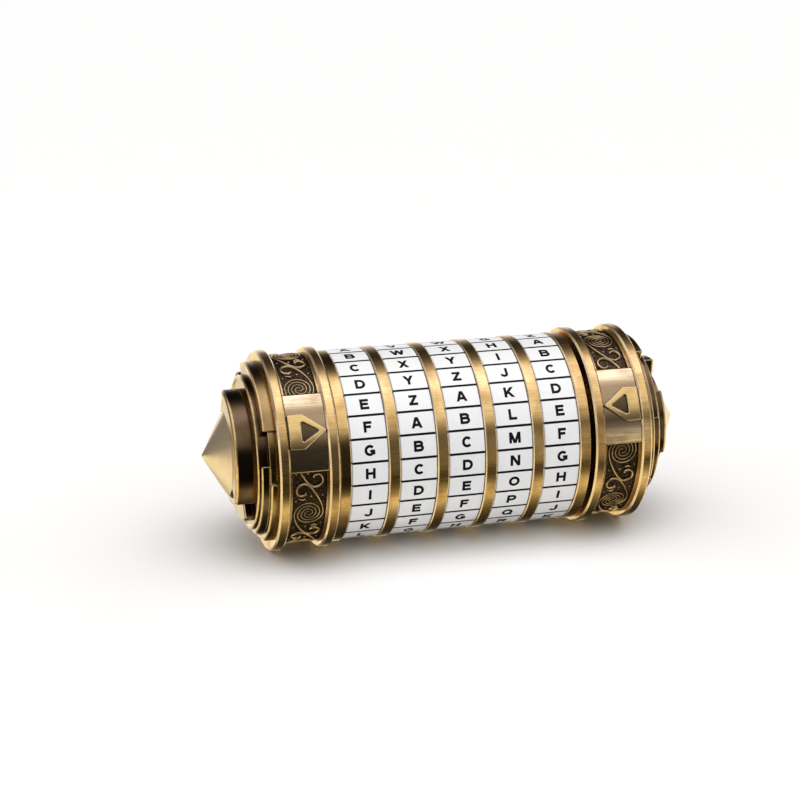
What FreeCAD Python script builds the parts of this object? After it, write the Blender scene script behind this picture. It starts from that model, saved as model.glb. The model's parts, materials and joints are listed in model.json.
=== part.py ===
import FreeCAD, Part
import math
import os

# A puzzle cylinder lying on its side. Five lettered dials turn on a slotted sleeve between two brass
# caps. With the right letter of every dial on the reading row, the notches inside the dials line up
# and the right cap pulls out with the inner tube, which is the vault.
#
# X runs along the axis, towards the end that pulls out, and Z is up. The origin is on the axis at
# mid-length. Lengths are in millimetres. Angles round the axis are in degrees, and count from the
# reading row up over the front of the object.

Vector = FreeCAD.Vector

# ---- whole object
ROW_ANGLE = 27.0  # the reading row sits this far above the front
TIP = 55.75  # from the middle to the point of either finial
RIM_RADIUS = 22.5  # the four flanges that the object lies on

# ---- caps, with distances counted outward from the middle of the object
CAP_FACE = 29.1
INNER_FLANGE_END = 31.5
OUTER_FLANGE_START = 40.0
CAP_END = 42.4
FLANGE_BEVEL = 0.4
DRUM_RADIUS = 19.9  # the wall under the relief panels and the arrow plates
CAVITY_RADIUS = 16.5

# ---- relief panels and arrow plates round each cap
PANEL_GROUND = 20.75
PANEL_RAIL_TOP = 21.3
PANEL_RAIL_WIDTH = 0.5
PLATE_HALF_ANGLE = 23.7
PLATE_TOP = 21.9
PLATE_EDGE_ROUND = 0.6
POINTER_TOP = 22.45
POINTER_FOOT = 21.4  # below the plate, so that its underside can follow the plate's curve
POINTER_BASE = 39.9
POINTER_BASE_HALF_WIDTH = 3.85
POINTER_SHOULDER = 36.65
POINTER_HALF_WIDTH = 3.95
POINTER_TIP = 31.45
POINTER_ROUND = 0.3
WINDOW_BASE = 37.05
WINDOW_HALF_WIDTH = 2.45
WINDOW_TIP = 33.0
WINDOW_ROUND = 0.45
POINTER_TAPER = 0.97  # its sides lean in towards the top, and those of its window lean out
WINDOW_TAPER = 1.04

# ---- stepped end ornament, from the cap outward
BASE_RADIUS = 19.4
BASE_TOP = 43.95
THICK_PAD_RADIUS = 20.2
THICK_PAD_TOP = 45.1
THICK_PAD_ANGLES = (3.0, 86.0)
LOW_PAD_RADIUS = 18.6
LOW_PAD_TOP = 45.7
LOW_PAD_ANGLES = ((-87.0, -19.6), (94.0, 135.0))
BACK_PAD_TOP = 45.1
BACK_PAD_ANGLES = (183.0, 267.0)
RIM_SEGMENT_ANGLES = ((-91.0, -31.0), (97.0, 176.0))
PAD_ROUND = 0.5
SPIGOT_BORE = 14.0
SPIGOT_DEPTH = 1.5
DISC_RADIUS = 17.3
DISC_TOP = 46.3
DISC_FLOOR = 46.0
DISC_LIP = 0.8
COLLAR_RADIUS = 11.3
COLLAR_TOP = 49.5
BOSS_RADIUS = 14.5
BOSS_HIGH_TOP = 50.6
BOSS_HIGH_ANGLES = (-60.0, 69.0)
BOSS_LOW_TOP = 49.0
BOSS_LOW_ANGLES = (110.0, 169.0)
BOSS_STEP_RADIUS = 15.3
BOSS_STEP_TOP = 47.9
BOSS_STEP_ANGLES = (198.0, 279.0)
BOSS_ROUND = 0.8
CONE_RADIUS = 9.4
CONE_BASE = 50.4
CONE_RECESS_RADIUS = 10.05
CONE_SEAT = 49.1
TIP_ROUND = 0.5
RIGHT_ORNAMENT_TURN = -125.0  # the right ornament is screwed on at another angle
SHANK_RADIUS = 2.0
NUT_THICKNESS = 1.9
NUT_RADIUS = 4.0
SHANK_SPARE = 1.0  # of the shank, past its nut

# ---- dials and spacers, from left to right
DIAL_COUNT = 5
LETTER_COUNT = 26
SPACER_WIDTH = 2.65
SLOT_WIDTH = 8.3
DIAL_PLAY = 0.05  # at each side of a dial
SPACER_RADIUS = 21.58
SPACER_BEVEL = 0.25
LETTER_RADIUS = 21.3
LETTER_BEVEL = 0.2
LINE_WIDTH = 0.3
LINE_DEPTH = 0.12
GATE_RADIUS = 18.5
GATE_BORE = 15.08
GATE_GROOVE_RADIUS = 17.3
GATE_GROOVE_WIDTH = 3.6
NOTCH_WIDTH = 4.4
NOTCH_RADIUS = 17.2

# ---- sleeve, inner tube and lock
SLEEVE_RADIUS = 15.0
SLEEVE_BORE = 13.58
SLEEVE_END = 33.7
SHOULDER_RADIUS = 16.0
SHOULDER_WIDTH = 1.0
CLEARANCE = 0.05  # round the shoulder, and under the set screws
SLOT_START = 26.5
SLEEVE_SLOT = 4.2
SPACER_BORE = 15.05
KEYWAY_WIDTH = 2.4
KEYWAY_RADIUS = 14.3
TAB_WIDTH = 2.2
TAB_RADIUS = 14.35
TAB_ROOT = 15.55
TUBE_RADIUS = 13.5
TUBE_BORE = 12.0
TUBE_START = -27.5
TUBE_END = 33.9
TUBE_FLANGE_RADIUS = 14.6
TUBE_FLANGE_WIDTH = 0.6
RING_NUT_WIDTH = 2.2
RING_NUT_RADIUS = 16.3
SPANNER_SLOT = 1.6
SLOT_DEPTH = 1.0
FLOOR_THICKNESS = 1.6
KEY_WIDTH = 3.8
KEY_RADIUS = 14.9
KEY_END = 24.9
TOOTH_RADIUS = 17.0
TOOTH_LENGTH = 2.6
RIVET_RADIUS = 0.7
SCREW_RADIUS = 0.9
SCREW_HEAD = 20.6
SCREW_SOCKET = 0.45
SOCKET_DEPTH = 0.8
SCREW_ANGLES = (135.0, 225.0)
DRAG_CIRCLE = 17.9
DRAG_RADIUS = 0.295
DRAG_GROOVE_DEPTH = 0.55
DRAG_GROOVE_HALF_WIDTH = 0.34

PITCH = SPACER_WIDTH + SLOT_WIDTH
STACK_START = -CAP_FACE
STACK_END = STACK_START + DIAL_COUNT * PITCH + SPACER_WIDTH
CELL_ANGLE = 360.0 / LETTER_COUNT
FAR = 60.0  # beyond the object in every direction
OVERSHOOT = 1.0  # of a cutting shape, past what it cuts
NEAR = 0.01  # slack in picking out an edge by its place

ORIGIN = Vector(0, 0, 0)
AXIS = Vector(1, 0, 0)
UPWARD = Vector(-1, 0, 0)  # a turn about this raises what faces the front


def spacer_start(number):
    """Left face of a spacer, counted from 0 at the left cap to 5 at the right cap."""
    return STACK_START + number * PITCH


def dial_centre(number):
    """Middle of a dial, counted from 1 at the left."""
    return spacer_start(number) - SLOT_WIDTH / 2


def at(x, radius, angle=0.0):
    """A point from its place along the axis, its radius and its angle from the reading row."""
    turn = math.radians(angle)
    return Vector(x, -radius * math.cos(turn), radius * math.sin(turn))


def turned(outline, start=0.0, sweep=360.0):
    """A solid swept round the axis from an outline of (x, radius) points."""
    points = [at(x, radius, start) for x, radius in outline]
    face = Part.Face(Part.makePolygon(points + points[:1]))
    solid = face.revolve(ORIGIN, UPWARD, sweep)
    if solid.Volume < 0:
        solid.reverse()
    return solid


def ring(start, end, bore, radius, bevel=0.0):
    """A ring along the axis whose two outer edges may be bevelled."""
    outline = [(start, bore), (start, radius - bevel), (start + bevel, radius)]
    outline += [(end - bevel, radius), (end, radius - bevel), (end, bore)]
    if not bevel:
        outline = [(start, bore), (start, radius), (end, radius), (end, bore)]
    return turned(outline)


def block(start, end, low, high, width, angle=0.0):
    """A block that stands out from the axis between two radii, straddling an angle."""
    solid = Part.makeBox(end - start, high - low, width, Vector(start, -high, -width / 2))
    solid.rotate(ORIGIN, UPWARD, angle)
    return solid


def scaled(outline, factor):
    """An outline made larger or smaller about the middle of its extent."""
    xs = [x for x, side in outline]
    middle = (min(xs) + max(xs)) / 2
    return [(middle + factor * (x - middle), factor * side) for x, side in outline]


def tapered(outline, taper, rounding):
    """A column at the reading row that narrows or widens outward, from (x, sideways) points."""
    wires = []
    for points, radius in ((outline, POINTER_FOOT), (scaled(outline, taper), RIM_RADIUS)):
        corners = [Vector(x, -radius, side) for x, side in points]
        wires.append(Part.makePolygon(corners + corners[:1]))
    solid = Part.makeLoft(wires, True, True)
    corners = [edge for edge in solid.Edges if edge.BoundBox.YLength > RIM_RADIUS - POINTER_FOOT - NEAR]
    return solid.makeFillet(rounding, corners)


def rod(start, end, radius, circle=0.0, angle=0.0):
    """A round rod along X whose centre stands on a circle round the axis."""
    return Part.makeCylinder(radius, end - start, at(start, circle, angle), AXIS)


def spoke(radius, low, high, x, angle):
    """A round rod pointing out from the axis between two radii."""
    direction = at(0, 1.0, angle)
    return Part.makeCylinder(radius, high - low, at(x, low, angle), direction)


def join(solids):
    """One solid from several that touch or overlap."""
    return solids[0].multiFuse(solids[1:]).removeSplitter()


def outward(outline):
    """The outline of a left-cap piece, given with its distances counted outward."""
    return [(-distance, radius) for distance, radius in outline]


def radius_of(point):
    return math.hypot(point.y, point.z)


# ---- cap pieces, all made for the left cap
def drum(bore):
    """Brass drum with two flanges, an outer cavity, and a web that the centre tube goes through."""
    bevel = FLANGE_BEVEL
    outline = [(CAP_FACE, bore), (CAP_FACE, RIM_RADIUS - bevel), (CAP_FACE + bevel, RIM_RADIUS)]
    outline += [(INNER_FLANGE_END - bevel, RIM_RADIUS), (INNER_FLANGE_END, RIM_RADIUS - bevel)]
    outline += [(INNER_FLANGE_END, DRUM_RADIUS), (OUTER_FLANGE_START, DRUM_RADIUS)]
    outline += [(OUTER_FLANGE_START, RIM_RADIUS - bevel), (OUTER_FLANGE_START + bevel, RIM_RADIUS)]
    outline += [(CAP_END - bevel, RIM_RADIUS), (CAP_END, RIM_RADIUS - bevel)]
    outline += [(CAP_END, CAVITY_RADIUS), (INNER_FLANGE_END, CAVITY_RADIUS), (INNER_FLANGE_END, bore)]
    return turned(outward(outline))


def relief_panel(middle):
    """A curved panel between two arrow plates, with a rail along each flange."""
    rail = PANEL_RAIL_WIDTH
    outline = [(INNER_FLANGE_END, DRUM_RADIUS), (INNER_FLANGE_END, PANEL_RAIL_TOP)]
    outline += [(INNER_FLANGE_END + rail, PANEL_RAIL_TOP), (INNER_FLANGE_END + rail, PANEL_GROUND)]
    outline += [(OUTER_FLANGE_START - rail, PANEL_GROUND), (OUTER_FLANGE_START - rail, PANEL_RAIL_TOP)]
    outline += [(OUTER_FLANGE_START, PANEL_RAIL_TOP), (OUTER_FLANGE_START, DRUM_RADIUS)]
    half = 90.0 - PLATE_HALF_ANGLE
    return turned(outward(outline), middle - half, 2 * half)


def arrow_plate(middle):
    """A smooth curved plate with its two long edges rounded."""
    outline = [(INNER_FLANGE_END, DRUM_RADIUS), (INNER_FLANGE_END, PLATE_TOP)]
    outline += [(OUTER_FLANGE_START, PLATE_TOP), (OUTER_FLANGE_START, DRUM_RADIUS)]
    solid = turned(outward(outline), middle - PLATE_HALF_ANGLE, 2 * PLATE_HALF_ANGLE)
    edges = []
    for edge in solid.Edges:
        ends = [vertex.Point for vertex in edge.Vertexes]
        along_axis = abs(ends[0].x - ends[-1].x) > NEAR
        if along_axis and radius_of(ends[0]) > PLATE_TOP - NEAR:
            edges.append(edge)
    return solid.makeFillet(PLATE_EDGE_ROUND, edges)


def pointer(middle):
    """A raised arrowhead with a three-cornered window, pointing at the dials."""
    outer = [(POINTER_BASE, POINTER_BASE_HALF_WIDTH), (POINTER_SHOULDER, POINTER_HALF_WIDTH)]
    outer += [(POINTER_TIP, 0), (POINTER_SHOULDER, -POINTER_HALF_WIDTH)]
    outer += [(POINTER_BASE, -POINTER_BASE_HALF_WIDTH)]
    window = [(WINDOW_BASE, WINDOW_HALF_WIDTH), (WINDOW_TIP, 0), (WINDOW_BASE, -WINDOW_HALF_WIDTH)]
    solid = tapered(outward(outer), POINTER_TAPER, POINTER_ROUND)
    solid = solid.common(ring(-FAR, FAR, PLATE_TOP, POINTER_TOP))
    solid = solid.cut(tapered(outward(window), WINDOW_TAPER, WINDOW_ROUND))
    solid.rotate(ORIGIN, UPWARD, middle)
    return solid


def pad(floor, low, high, top, angles, rounding):
    """A raised arc on the end of a cap, with its ends and its outer top edge rounded."""
    outline = [(floor, low), (floor, high), (top, high), (top, low)]
    solid = turned(outward(outline), angles[0], angles[1] - angles[0])
    edges = []
    for edge in solid.Edges:
        ends = [vertex.Point for vertex in edge.Vertexes]
        on_top = all(abs(end.x + top) < NEAR for end in ends)
        at_outside = min(radius_of(end) for end in ends) > high - NEAR
        radial = abs(radius_of(ends[0]) - radius_of(ends[-1])) > NEAR
        if on_top and (at_outside or radial):
            edges.append(edge)
    return solid.makeFillet(rounding, edges)


def tier_plate():
    """The end plate: a ring with arcs stepped up at different heights, and a spigot in the drum."""
    solids = [ring(-BASE_TOP, -CAP_END, SHANK_RADIUS, BASE_RADIUS)]
    solids.append(ring(-CAP_END, -CAP_END + SPIGOT_DEPTH, SPIGOT_BORE, CAVITY_RADIUS))
    thick = (DISC_RADIUS, THICK_PAD_RADIUS, THICK_PAD_TOP, THICK_PAD_ANGLES)
    back = (DISC_RADIUS, LOW_PAD_RADIUS, BACK_PAD_TOP, BACK_PAD_ANGLES)
    lows = [(DISC_RADIUS, LOW_PAD_RADIUS, LOW_PAD_TOP, angles) for angles in LOW_PAD_ANGLES]
    for low, high, top, angles in [thick, back] + lows:
        solids.append(pad(CAP_END, low, high, top, angles, PAD_ROUND))
    for angles in RIM_SEGMENT_ANGLES:
        solids.append(pad(CAP_END, LOW_PAD_RADIUS, THICK_PAD_RADIUS, BASE_TOP, angles, PAD_ROUND))
    return join(solids)


def tier_disc():
    """A flat disc with a thin raised lip."""
    bevel = DISC_TOP - DISC_FLOOR
    outline = [(BASE_TOP, SHANK_RADIUS), (BASE_TOP, DISC_RADIUS), (DISC_TOP - bevel, DISC_RADIUS)]
    outline += [(DISC_TOP, DISC_RADIUS - bevel), (DISC_TOP, DISC_RADIUS - DISC_LIP)]
    outline += [(DISC_FLOOR, DISC_RADIUS - DISC_LIP - bevel), (DISC_FLOOR, SHANK_RADIUS)]
    return turned(outward(outline))


def end_boss():
    """A round collar with three thick arcs of different heights round it, recessed for the cone."""
    arcs = (
        (BOSS_RADIUS, BOSS_HIGH_TOP, BOSS_HIGH_ANGLES, BOSS_ROUND),
        (BOSS_RADIUS, BOSS_LOW_TOP, BOSS_LOW_ANGLES, BOSS_ROUND),
        (BOSS_STEP_RADIUS, BOSS_STEP_TOP, BOSS_STEP_ANGLES, PAD_ROUND),
    )
    solids = [ring(-COLLAR_TOP, -DISC_FLOOR, SHANK_RADIUS, COLLAR_RADIUS)]
    for radius, top, angles, rounding in arcs:
        solids.append(pad(DISC_FLOOR, CONE_RECESS_RADIUS, radius, top, angles, rounding))
    return join(solids).cut(rod(-FAR, -CONE_SEAT, CONE_RECESS_RADIUS))


def finial_cone():
    """A blunt cone on a short skirt, with a threaded shank that clamps the whole ornament."""
    slope = CONE_RADIUS / (TIP - CONE_BASE)
    shank_end = CAP_END - NUT_THICKNESS - SHANK_SPARE
    outline = [(shank_end, 0), (shank_end, SHANK_RADIUS), (CONE_SEAT, SHANK_RADIUS)]
    outline += [(CONE_SEAT, CONE_RADIUS), (CONE_BASE, CONE_RADIUS)]
    outline += [(TIP - TIP_ROUND / slope, TIP_ROUND), (TIP, 0)]
    return turned(outward(outline))


def finial_nut():
    """A hexagon nut on the cone's shank, inside the drum."""
    corners = [at(-CAP_END, NUT_RADIUS, 60.0 * k) for k in range(7)]
    prism = Part.Face(Part.makePolygon(corners)).extrude(Vector(NUT_THICKNESS, 0, 0))
    return prism.cut(rod(-FAR, 0, SHANK_RADIUS))


def ring_nut(bore):
    """A slotted ring nut inside the drum, on the end of the sleeve or the inner tube."""
    start = INNER_FLANGE_END
    solid = ring(-start - RING_NUT_WIDTH, -start, bore, RING_NUT_RADIUS)
    slot_start = -start - RING_NUT_WIDTH - OVERSHOOT
    slot_end = -start - RING_NUT_WIDTH + SLOT_DEPTH
    for angle in (0.0, 90.0, 180.0, 270.0):
        solid = solid.cut(block(slot_start, slot_end, bore - OVERSHOOT, FAR, SPANNER_SLOT, angle))
    return solid


# ---- pieces of the dial stack
def letter_ring(number):
    """White dial with a shallow line between each two of its letters."""
    half = SLOT_WIDTH / 2 - DIAL_PLAY
    centre = dial_centre(number)
    solid = ring(centre - half, centre + half, GATE_RADIUS, LETTER_RADIUS, LETTER_BEVEL)
    low, high = LETTER_RADIUS - LINE_DEPTH, LETTER_RADIUS + OVERSHOOT
    start, end = centre - half - OVERSHOOT, centre + half + OVERSHOOT
    lines = []
    for letter in range(LETTER_COUNT):
        lines.append(block(start, end, low, high, LINE_WIDTH, (letter + 0.5) * CELL_ANGLE))
    return solid.cut(lines)


def gate_ring(number):
    """Brass hub of a dial, with a groove that the lock's tooth turns in and one notch to leave by."""
    half = SLOT_WIDTH / 2 - DIAL_PLAY
    groove = GATE_GROOVE_WIDTH / 2
    centre = dial_centre(number)
    outline = [(-half, GATE_BORE), (-half, GATE_RADIUS), (half, GATE_RADIUS), (half, GATE_BORE)]
    outline += [(groove, GATE_BORE), (groove, GATE_GROOVE_RADIUS)]
    outline += [(-groove, GATE_GROOVE_RADIUS), (-groove, GATE_BORE)]
    solid = turned([(centre + x, radius) for x, radius in outline])
    start, end = centre - half - OVERSHOOT, centre + half + OVERSHOOT
    return solid.cut(block(start, end, 0, GATE_GROOVE_RADIUS, NOTCH_WIDTH))


def key_tab(start):
    """The tab of a spacer, in the keyway along the back of the sleeve."""
    tab = block(start, start + SPACER_WIDTH, 0, TAB_ROOT, TAB_WIDTH, 180.0)
    return tab.cut(rod(-FAR, FAR, TAB_RADIUS))


def drag_groove(face):
    """Groove in the right face of a spacer, for the rubber ring that rubs on the next dial."""
    low = DRAG_CIRCLE - DRAG_GROOVE_HALF_WIDTH
    return ring(face - DRAG_GROOVE_DEPTH, face + OVERSHOOT, low, DRAG_CIRCLE + DRAG_GROOVE_HALF_WIDTH)


def tooth_notch(start):
    """Notch through a spacer that lets the lock's teeth pass."""
    return block(start - OVERSHOOT, start + SPACER_WIDTH + OVERSHOOT, 0, NOTCH_RADIUS, NOTCH_WIDTH)


def left_collar():
    """First brass ring, seated on the sleeve's shoulder against the left cap."""
    start = spacer_start(0)
    solid = ring(start, start + SPACER_WIDTH, SPACER_BORE, SPACER_RADIUS, SPACER_BEVEL)
    room_end = start + SHOULDER_WIDTH + CLEARANCE
    shoulder_room = rod(start - OVERSHOOT, room_end, SHOULDER_RADIUS + CLEARANCE)
    tab = key_tab(start).cut(shoulder_room)
    solid = join([solid.cut(shoulder_room), tab])
    return solid.cut(drag_groove(start + SPACER_WIDTH))


def spacer(number):
    """Brass ring between two dials, keyed to the sleeve so that one dial can't drag the next."""
    start = spacer_start(number)
    solid = ring(start, start + SPACER_WIDTH, SPACER_BORE, SPACER_RADIUS, SPACER_BEVEL)
    solid = join([solid, key_tab(start)])
    return solid.cut([drag_groove(start + SPACER_WIDTH), tooth_notch(start)])


def retaining_collar():
    """Last brass ring, locked on the sleeve by two set screws."""
    start = spacer_start(DIAL_COUNT)
    solid = ring(start, start + SPACER_WIDTH, SLEEVE_RADIUS, SPACER_RADIUS, SPACER_BEVEL)
    holes = [spoke(SCREW_RADIUS, 0, FAR, start + SPACER_WIDTH / 2, angle) for angle in SCREW_ANGLES]
    return solid.cut(holes + [tooth_notch(start)])


def collar_set_screws():
    """Two headless screws with sockets."""
    x = spacer_start(DIAL_COUNT) + SPACER_WIDTH / 2
    screws = []
    for angle in SCREW_ANGLES:
        body = spoke(SCREW_RADIUS, SLEEVE_RADIUS + CLEARANCE, SCREW_HEAD, x, angle)
        socket = spoke(SCREW_SOCKET, SCREW_HEAD - SOCKET_DEPTH, SCREW_HEAD + OVERSHOOT, x, angle)
        screws.append(body.cut(socket))
    return Part.makeCompound(screws)


def drag_rings():
    """Five rubber rings, one to the left of each dial, that keep the dials where they are turned."""
    rings = []
    for number in range(DIAL_COUNT):
        centre = spacer_start(number) + SPACER_WIDTH - DRAG_GROOVE_DEPTH + DRAG_RADIUS
        rings.append(Part.makeTorus(DRAG_CIRCLE, DRAG_RADIUS, Vector(centre, 0, 0), AXIS))
    return Part.makeCompound(rings)


# ---- sleeve, inner tube and lock
def slotted_sleeve():
    """Fixed tube that the dials turn on, open along one slot for the lock's key."""
    solid = ring(-SLEEVE_END, STACK_END, SLEEVE_BORE, SLEEVE_RADIUS)
    shoulder = ring(STACK_START, STACK_START + SHOULDER_WIDTH, SLEEVE_BORE, SHOULDER_RADIUS)
    slot = block(-SLOT_START, FAR, 0, FAR, SLEEVE_SLOT)
    keyway = block(STACK_START + SHOULDER_WIDTH, FAR, KEYWAY_RADIUS, FAR, KEYWAY_WIDTH, 180.0)
    return join([solid, shoulder]).cut([slot, keyway])


def inner_tube():
    """The vault: a thin tube that slides in the sleeve and is clamped in the right cap."""
    solid = ring(TUBE_START, TUBE_END, TUBE_BORE, TUBE_RADIUS)
    flange = ring(CAP_FACE - TUBE_FLANGE_WIDTH, CAP_FACE, TUBE_BORE, TUBE_FLANGE_RADIUS)
    holes = [spoke(RIVET_RADIUS, 0, FAR, x, 0.0) for x in rivet_places()]
    return join([solid, flange]).cut(holes)


def rivet_places():
    """The key is riveted at its ends and in the middle, between its teeth."""
    return [spacer_start(number) + SPACER_WIDTH / 2 for number in (1, 3, 4)]


def key_bar():
    """Bar along the inner tube with one tooth for each dial."""
    bar = ring(-KEY_END, KEY_END, TUBE_RADIUS, KEY_RADIUS)
    solids = [bar.common(block(-FAR, FAR, 0, FAR, KEY_WIDTH))]
    for number in range(1, DIAL_COUNT + 1):
        centre = dial_centre(number)
        tooth = block(centre - TOOTH_LENGTH / 2, centre + TOOTH_LENGTH / 2, 0, TOOTH_RADIUS, KEY_WIDTH)
        solids.append(tooth.cut(rod(-FAR, FAR, TUBE_RADIUS)))
    holes = [spoke(RIVET_RADIUS, 0, FAR, x, 0.0) for x in rivet_places()]
    return join(solids).cut(holes)


def key_rivets():
    """Three flush rivets through the key and the tube."""
    column = [spoke(RIVET_RADIUS, 0, FAR, x, 0.0) for x in rivet_places()]
    wall = ring(-FAR, FAR, TUBE_BORE, KEY_RADIUS)
    return Part.makeCompound([rivet.common(wall).Solids[0] for rivet in column])


def vault_floor():
    """Disc that closes the outer end of the vault."""
    return rod(TUBE_END - FLOOR_THICKNESS, TUBE_END, TUBE_BORE)


# ---- placing and writing
def save(name, shape, side="left", turn=0.0):
    """Place a piece in the object and write it. Right-cap pieces are left ones turned end for end."""
    placed = shape.copy()
    placed.rotate(ORIGIN, UPWARD, turn)
    if side == "right":
        placed.rotate(ORIGIN, Vector(0, 1, 0), 180.0)
    placed.rotate(ORIGIN, UPWARD, ROW_ANGLE)
    if not placed.isValid():
        raise ValueError(f"{name} is not a valid shape")
    placed.exportStep(f"parts/{name}.step")


def save_cap(side):
    """The pieces that both caps have."""
    turn = RIGHT_ORNAMENT_TURN if side == "right" else 0.0
    for name, middle in (("front", 0.0), ("back", 180.0)):
        save(f"{side}_arrow_plate_{name}", arrow_plate(middle), side)
        save(f"{side}_pointer_{name}", pointer(middle), side)
    for name, middle in (("upper", 90.0), ("lower", -90.0)):
        middle = -middle if side == "right" else middle
        save(f"{side}_relief_panel_{name}", relief_panel(middle), side)
    save(f"{side}_tier_plate", tier_plate(), side, turn)
    save(f"{side}_tier_disc", tier_disc(), side, turn)
    save(f"{side}_end_boss", end_boss(), side, turn)
    save(f"{side}_finial_cone", finial_cone(), side, turn)
    save(f"{side}_finial_nut", finial_nut(), side, turn)


os.makedirs("parts", exist_ok=True)
save_cap("left")
save_cap("right")
save("left_drum", drum(SLEEVE_RADIUS))
save("right_drum", drum(TUBE_RADIUS), "right")
save("sleeve_nut", ring_nut(SLEEVE_RADIUS))
save("tube_nut", ring_nut(TUBE_RADIUS), "right")
for dial in range(1, DIAL_COUNT + 1):
    save(f"letter_ring_{dial}", letter_ring(dial))
    save(f"gate_ring_{dial}", gate_ring(dial))
for gap in range(1, DIAL_COUNT):
    save(f"spacer_{gap}", spacer(gap))
save("left_collar", left_collar())
save("retaining_collar", retaining_collar())
save("collar_set_screws", collar_set_screws())
save("drag_rings", drag_rings())
save("slotted_sleeve", slotted_sleeve())
save("inner_tube", inner_tube())
save("key_bar", key_bar())
save("key_rivets", key_rivets())
save("vault_floor", vault_floor())
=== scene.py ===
import json
import math

import bmesh
import bpy
from mathutils import Matrix, Vector, geometry, noise


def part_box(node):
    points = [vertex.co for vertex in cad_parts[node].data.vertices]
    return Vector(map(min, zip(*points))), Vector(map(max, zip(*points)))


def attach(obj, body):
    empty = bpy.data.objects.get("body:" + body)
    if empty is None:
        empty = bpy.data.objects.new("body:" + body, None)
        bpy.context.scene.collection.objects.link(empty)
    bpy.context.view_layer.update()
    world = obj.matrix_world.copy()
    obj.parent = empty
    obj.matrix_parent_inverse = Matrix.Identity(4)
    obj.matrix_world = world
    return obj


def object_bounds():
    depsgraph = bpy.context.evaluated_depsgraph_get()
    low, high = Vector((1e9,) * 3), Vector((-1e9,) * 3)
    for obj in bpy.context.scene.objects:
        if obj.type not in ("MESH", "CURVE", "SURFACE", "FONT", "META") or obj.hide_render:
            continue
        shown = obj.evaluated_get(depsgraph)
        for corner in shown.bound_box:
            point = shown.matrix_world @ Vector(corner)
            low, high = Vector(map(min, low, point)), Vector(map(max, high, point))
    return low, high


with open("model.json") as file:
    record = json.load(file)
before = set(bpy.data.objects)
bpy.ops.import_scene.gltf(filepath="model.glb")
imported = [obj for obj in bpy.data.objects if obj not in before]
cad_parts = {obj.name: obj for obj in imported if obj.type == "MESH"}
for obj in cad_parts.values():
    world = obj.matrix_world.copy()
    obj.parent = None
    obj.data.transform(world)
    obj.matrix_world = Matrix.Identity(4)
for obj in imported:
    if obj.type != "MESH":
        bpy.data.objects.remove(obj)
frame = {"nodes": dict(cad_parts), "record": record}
cad_low, cad_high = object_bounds()

# The looks of a puzzle cylinder: brass caps with cast relief bands, white dials with black letters.
# Everything is in metres. Places come from the frame; MM turns the small sizes below into metres.

MM = 0.001
SIDES = ("left", "right")
DIALS = range(1, 6)
BODY_OF_SIDE = {"left": "sleeve_end", "right": "pull_end"}

# ---- letters
ALPHABET = "ABCDEFGHIJKLMNOPQRSTUVWXYZ"
READING_WORD = "FABLE"
CELL = math.tau / len(ALPHABET)
CAP_HEIGHT = 2.4 * MM
STROKE = 0.238  # of the letters, as a share of their height
LETTER_PROUD = 0.03 * MM
LETTER_ROOT = 0.1 * MM
CURVE_STEP = 0.12  # heights between the cuts that let a letter bend round its dial
TRIANGLES_INSIDE = 1  # what the triangulation gives back
TOUCHING = 1e-5  # points of a letter nearer than this are one
LINE_WIDTH = 0.5 * MM
LINE_PROUD = 0.015 * MM
LINE_ROOT = 0.2 * MM
LINE_END = 0.12 * MM

# ---- relief bands: angles in degrees above the reading row, and the figures drawn on them in millimetres
RAIL_HEIGHT = 0.55 * MM
RAIL_WIDTH = 0.5 * MM
PANEL_ENDS = {"upper": (23.7, 156.3), "lower": (-156.3, -23.7)}
BAND_TURNS = 9
BAND_PITCH = 40.0
FIRST_SPIRAL = {"left": 28.2, "right": -28.2}
FIGURE_REACH = 24.0  # how far a figure reaches from its middle along the band
RELIEF_ROOT = 0.12  # how deep the figures stand in the ground
DOME = 0.95  # height of vines and buds, as a share of their width and radius
SPIRAL_TURNS = 1.85
SPIRAL_TURN_POINTS = 18
SPIRAL_INNER = 0.3
SPIRAL_OUTER = 3.2
VINE_STEP = 0.2
VINE_SIDES = 8  # flats of a vine's half-round section
VINE_LIFT = 0.03 * MM
ARM_START = 0.62  # where the free arm starts, as a share of a vine's length
ARM = (
    (3.06, 1.3), (2.6, 2.8), (1.9, 4.3), (1.05, 5.75), (0.1, 6.95), (-0.9, 7.6), (-1.95, 7.5),
    (-2.75, 6.85), (-2.9, 5.9), (-2.45, 5.1), (-1.65, 4.85), (-0.95, 5.15), (-0.9, 5.7),
)
LEAF = ((-2.5, 4.25), (-2.0, 3.95), (-1.4, 3.85), (-0.7, 4.15))
BERRIES = ((0.35, 4.55, 0.34), (-3.05, 3.5, 0.3), (2.95, 4.6, 0.3))  # place and radius
BERRY_SIDES = 10
BERRY_LEVELS = (0, 26, 52, 78)  # degrees up the dome
PEBBLE = 0.3
PEBBLE_REACH = 0.75  # radius of a pebble, as a share of their spacing
PEBBLE_FOOT = 0.02
PEBBLE_HEIGHT = 0.15
PEBBLE_STEP = 0.13
GROUND_ROOT = 0.1 * MM


# ---- small helpers
def reading_angle():
    low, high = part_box("left_pointer_front")
    middle = (low + high) / 2
    return math.atan2(middle.z, -middle.y)


READING = reading_angle()


def at(x, radius, angle):
    """A point from its place along the axis, its radius and its angle above the reading row."""
    turn = READING + angle
    return Vector((x, -radius * math.cos(turn), radius * math.sin(turn)))


def finish_mesh(name, work, body, material, smooth=True):
    """A mesh object from a bmesh, riding on a body, with its material and slot."""
    bmesh.ops.recalc_face_normals(work, faces=work.faces)
    mesh = bpy.data.meshes.new(name)
    work.to_mesh(mesh)
    work.free()
    mesh.materials.append(material)
    for face in mesh.polygons:
        face.use_smooth = smooth
    made = bpy.data.objects.new(name, mesh)
    bpy.context.scene.collection.objects.link(made)
    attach(made, body)
    return made


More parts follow.
